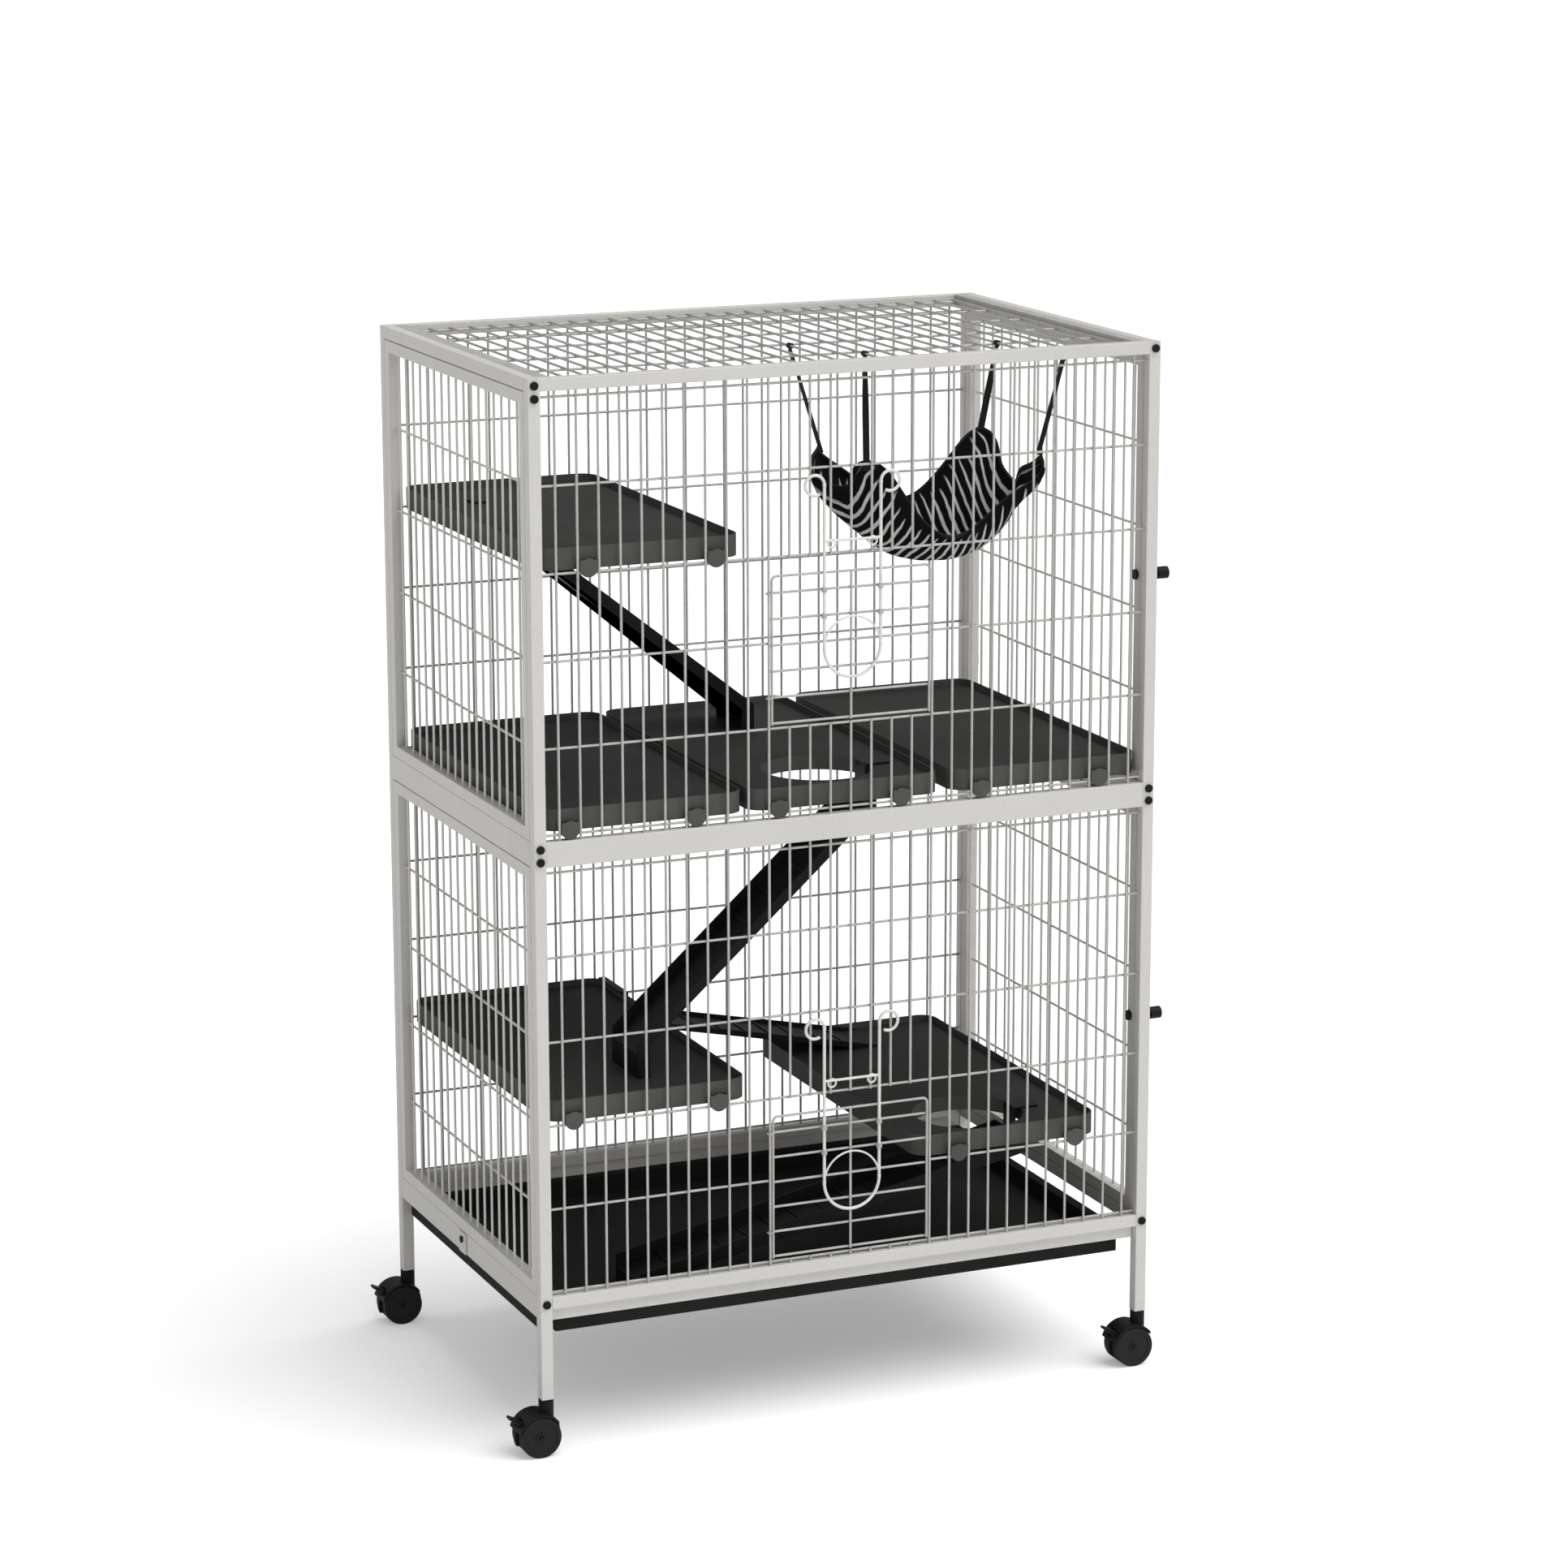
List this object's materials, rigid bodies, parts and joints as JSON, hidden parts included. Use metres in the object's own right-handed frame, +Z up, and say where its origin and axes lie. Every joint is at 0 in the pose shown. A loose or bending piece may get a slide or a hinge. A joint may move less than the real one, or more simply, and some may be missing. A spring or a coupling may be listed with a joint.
{
  "type": "ferret cage",
  "caption": "Tall two-storey wire ferret cage on casters with side doors, small wire doors, hung shelves, ramps, floor tray and hammock.",
  "frame": {"origin": "floor level, under the middle of the four posts", "axes": "+Z up, +X to the right seen from the front, front is -Y"},
  "size_m": [0.8656, 0.5484, 1.28],
  "materials": {
    "frame_paint": "satin",
    "wire_coat": "satin",
    "bright_wire": "gloss",
    "hinge_steel": "satin",
    "shelf_plastic": "matte",
    "black_plastic": "matte",
    "wheel_plastic": "satin",
    "printed_cloth": "matte",
    "webbing": "matte"
  },
  "bodies": {
    "cage": {"front_left_post": "frame_paint", "front_right_post": "frame_paint", "back_left_post": "frame_paint", "back_right_post": "frame_paint", "front_top_rail": "frame_paint", "front_middle_rail": "frame_paint", "front_bottom_rail": "frame_paint", "back_top_rail": "frame_paint", "back_middle_rail": "frame_paint", "back_bottom_rail": "frame_paint", "left_side_rails": "frame_paint", "right_side_rails": "frame_paint", "frame_bolts": "black_plastic", "left_upper_panel": "frame_paint", "left_lower_panel": "frame_paint", "front_upper_grid": "wire_coat", "front_lower_grid": "wire_coat", "back_upper_grid": "wire_coat", "back_lower_grid": "wire_coat", "top_grid": "wire_coat", "side_door_hinges": "hinge_steel", "tray_runners": "frame_paint", "upper_left_shelf": "shelf_plastic", "middle_left_shelf": "shelf_plastic", "middle_centre_shelf": "shelf_plastic", "middle_right_shelf": "shelf_plastic", "lower_left_shelf": "shelf_plastic", "lower_right_shelf": "shelf_plastic", "upper_ramp": "shelf_plastic", "middle_ramp": "shelf_plastic", "bridge_ramp": "shelf_plastic", "lower_ramp": "shelf_plastic", "hammock": "printed_cloth", "hammock_straps": "webbing", "caster_stems": "hinge_steel"},
    "upper_side_door": {"right_upper_door": "frame_paint"},
    "lower_side_door": {"right_lower_door": "frame_paint"},
    "upper_knob": {"upper_door_knob": "black_plastic"},
    "lower_knob": {"lower_door_knob": "black_plastic"},
    "upper_front_door": {"upper_small_door": "wire_coat"},
    "lower_front_door": {"lower_small_door": "wire_coat"},
    "upper_latch": {"upper_ring_latch": "bright_wire"},
    "lower_latch": {"lower_ring_latch": "bright_wire"},
    "tray": {"floor_tray": "shelf_plastic"},
    "clip": {"tray_clip": "frame_paint"},
    "front_left_swivel": {"front_left_caster": "black_plastic"},
    "front_right_swivel": {"front_right_caster": "black_plastic"},
    "back_left_swivel": {"back_left_caster": "black_plastic"},
    "back_right_swivel": {"back_right_caster": "black_plastic"},
    "front_left_wheel_pair": {"front_left_wheels": "wheel_plastic"},
    "front_right_wheel_pair": {"front_right_wheels": "wheel_plastic"},
    "back_left_wheel_pair": {"back_left_wheels": "wheel_plastic"},
    "back_right_wheel_pair": {"back_right_wheels": "wheel_plastic"},
    "front_left_brake_lever": {"front_left_brake": "black_plastic"},
    "front_right_brake_lever": {"front_right_brake": "black_plastic"},
    "back_left_brake_lever": {"back_left_brake": "black_plastic"},
    "back_right_brake_lever": {"back_right_brake": "black_plastic"}
  },
  "joints": [
    {"name": "upper_side_door_swing", "type": "hinge", "parent": "cage", "child": "upper_side_door", "pos_m": [0.404, 0.2485, 1.004], "axis": [0, 0, 1], "range_deg": [0, 110]},
    {"name": "upper_knob_turn", "type": "hinge", "parent": "upper_side_door", "child": "upper_knob", "pos_m": [0.4, -0.239, 0.996], "axis": [1, 0, 0], "range_deg": [0, 90]},
    {"name": "upper_front_door_swing", "type": "hinge", "parent": "cage", "child": "upper_front_door", "pos_m": [-0.1048, -0.25726, 0.945], "axis": [0, 0, -1], "range_deg": [0, 120]},
    {"name": "upper_latch_lift", "type": "slide", "parent": "upper_front_door", "child": "upper_latch", "axis": [0, 0, 1], "range_m": [0, 0.012]},
    {"name": "lower_side_door_swing", "type": "hinge", "parent": "cage", "child": "lower_side_door", "pos_m": [0.404, 0.2485, 0.453], "axis": [0, 0, 1], "range_deg": [0, 110]},
    {"name": "lower_knob_turn", "type": "hinge", "parent": "lower_side_door", "child": "lower_knob", "pos_m": [0.4, -0.239, 0.445], "axis": [1, 0, 0], "range_deg": [0, 90]},
    {"name": "lower_front_door_swing", "type": "hinge", "parent": "cage", "child": "lower_front_door", "pos_m": [-0.1048, -0.25726, 0.2915], "axis": [0, 0, -1], "range_deg": [0, 120]},
    {"name": "lower_latch_lift", "type": "slide", "parent": "lower_front_door", "child": "lower_latch", "axis": [0, 0, 1], "range_m": [0, 0.012]},
    {"name": "tray_slide", "type": "slide", "parent": "cage", "child": "tray", "axis": [-1, 0, 0], "range_m": [0, 0.55]},
    {"name": "tray_clip_turn", "type": "hinge", "parent": "cage", "child": "clip", "pos_m": [-0.40115, 0.011, 0.1842], "axis": [1, 0, 0], "range_deg": [0, 180]},
    {"name": "front_left_swivel_turn", "type": "hinge", "parent": "cage", "child": "front_left_swivel", "pos_m": [-0.3925, -0.255, 0.06], "axis": [0, 0, 1], "continuous": true},
    {"name": "front_left_wheel_roll", "type": "hinge", "parent": "front_left_swivel", "child": "front_left_wheel_pair", "pos_m": [-0.4045, -0.255, 0.025], "axis": [0, 1, 0], "continuous": true},
    {"name": "front_left_brake_press", "type": "hinge", "parent": "front_left_swivel", "child": "front_left_brake_lever", "pos_m": [-0.4279, -0.255, 0.043], "axis": [0, -1, 0], "range_deg": [0, 14]},
    {"name": "front_right_swivel_turn", "type": "hinge", "parent": "cage", "child": "front_right_swivel", "pos_m": [0.3925, -0.255, 0.06], "axis": [0, 0, 1], "continuous": true},
    {"name": "front_right_wheel_roll", "type": "hinge", "parent": "front_right_swivel", "child": "front_right_wheel_pair", "pos_m": [0.3805, -0.255, 0.025], "axis": [0, 1, 0], "continuous": true},
    {"name": "front_right_brake_press", "type": "hinge", "parent": "front_right_swivel", "child": "front_right_brake_lever", "pos_m": [0.3571, -0.255, 0.043], "axis": [0, -1, 0], "range_deg": [0, 14]},
    {"name": "back_left_swivel_turn", "type": "hinge", "parent": "cage", "child": "back_left_swivel", "pos_m": [-0.3925, 0.255, 0.06], "axis": [0, 0, 1], "continuous": true},
    {"name": "back_left_wheel_roll", "type": "hinge", "parent": "back_left_swivel", "child": "back_left_wheel_pair", "pos_m": [-0.4045, 0.255, 0.025], "axis": [0, 1, 0], "continuous": true},
    {"name": "back_left_brake_press", "type": "hinge", "parent": "back_left_swivel", "child": "back_left_brake_lever", "pos_m": [-0.4279, 0.255, 0.043], "axis": [0, -1, 0], "range_deg": [0, 14]},
    {"name": "back_right_swivel_turn", "type": "hinge", "parent": "cage", "child": "back_right_swivel", "pos_m": [0.3925, 0.255, 0.06], "axis": [0, 0, 1], "continuous": true},
    {"name": "back_right_wheel_roll", "type": "hinge", "parent": "back_right_swivel", "child": "back_right_wheel_pair", "pos_m": [0.3805, 0.255, 0.025], "axis": [0, 1, 0], "continuous": true},
    {"name": "back_right_brake_press", "type": "hinge", "parent": "back_right_swivel", "child": "back_right_brake_lever", "pos_m": [0.3571, 0.255, 0.043], "axis": [0, -1, 0], "range_deg": [0, 14]}
  ]
}
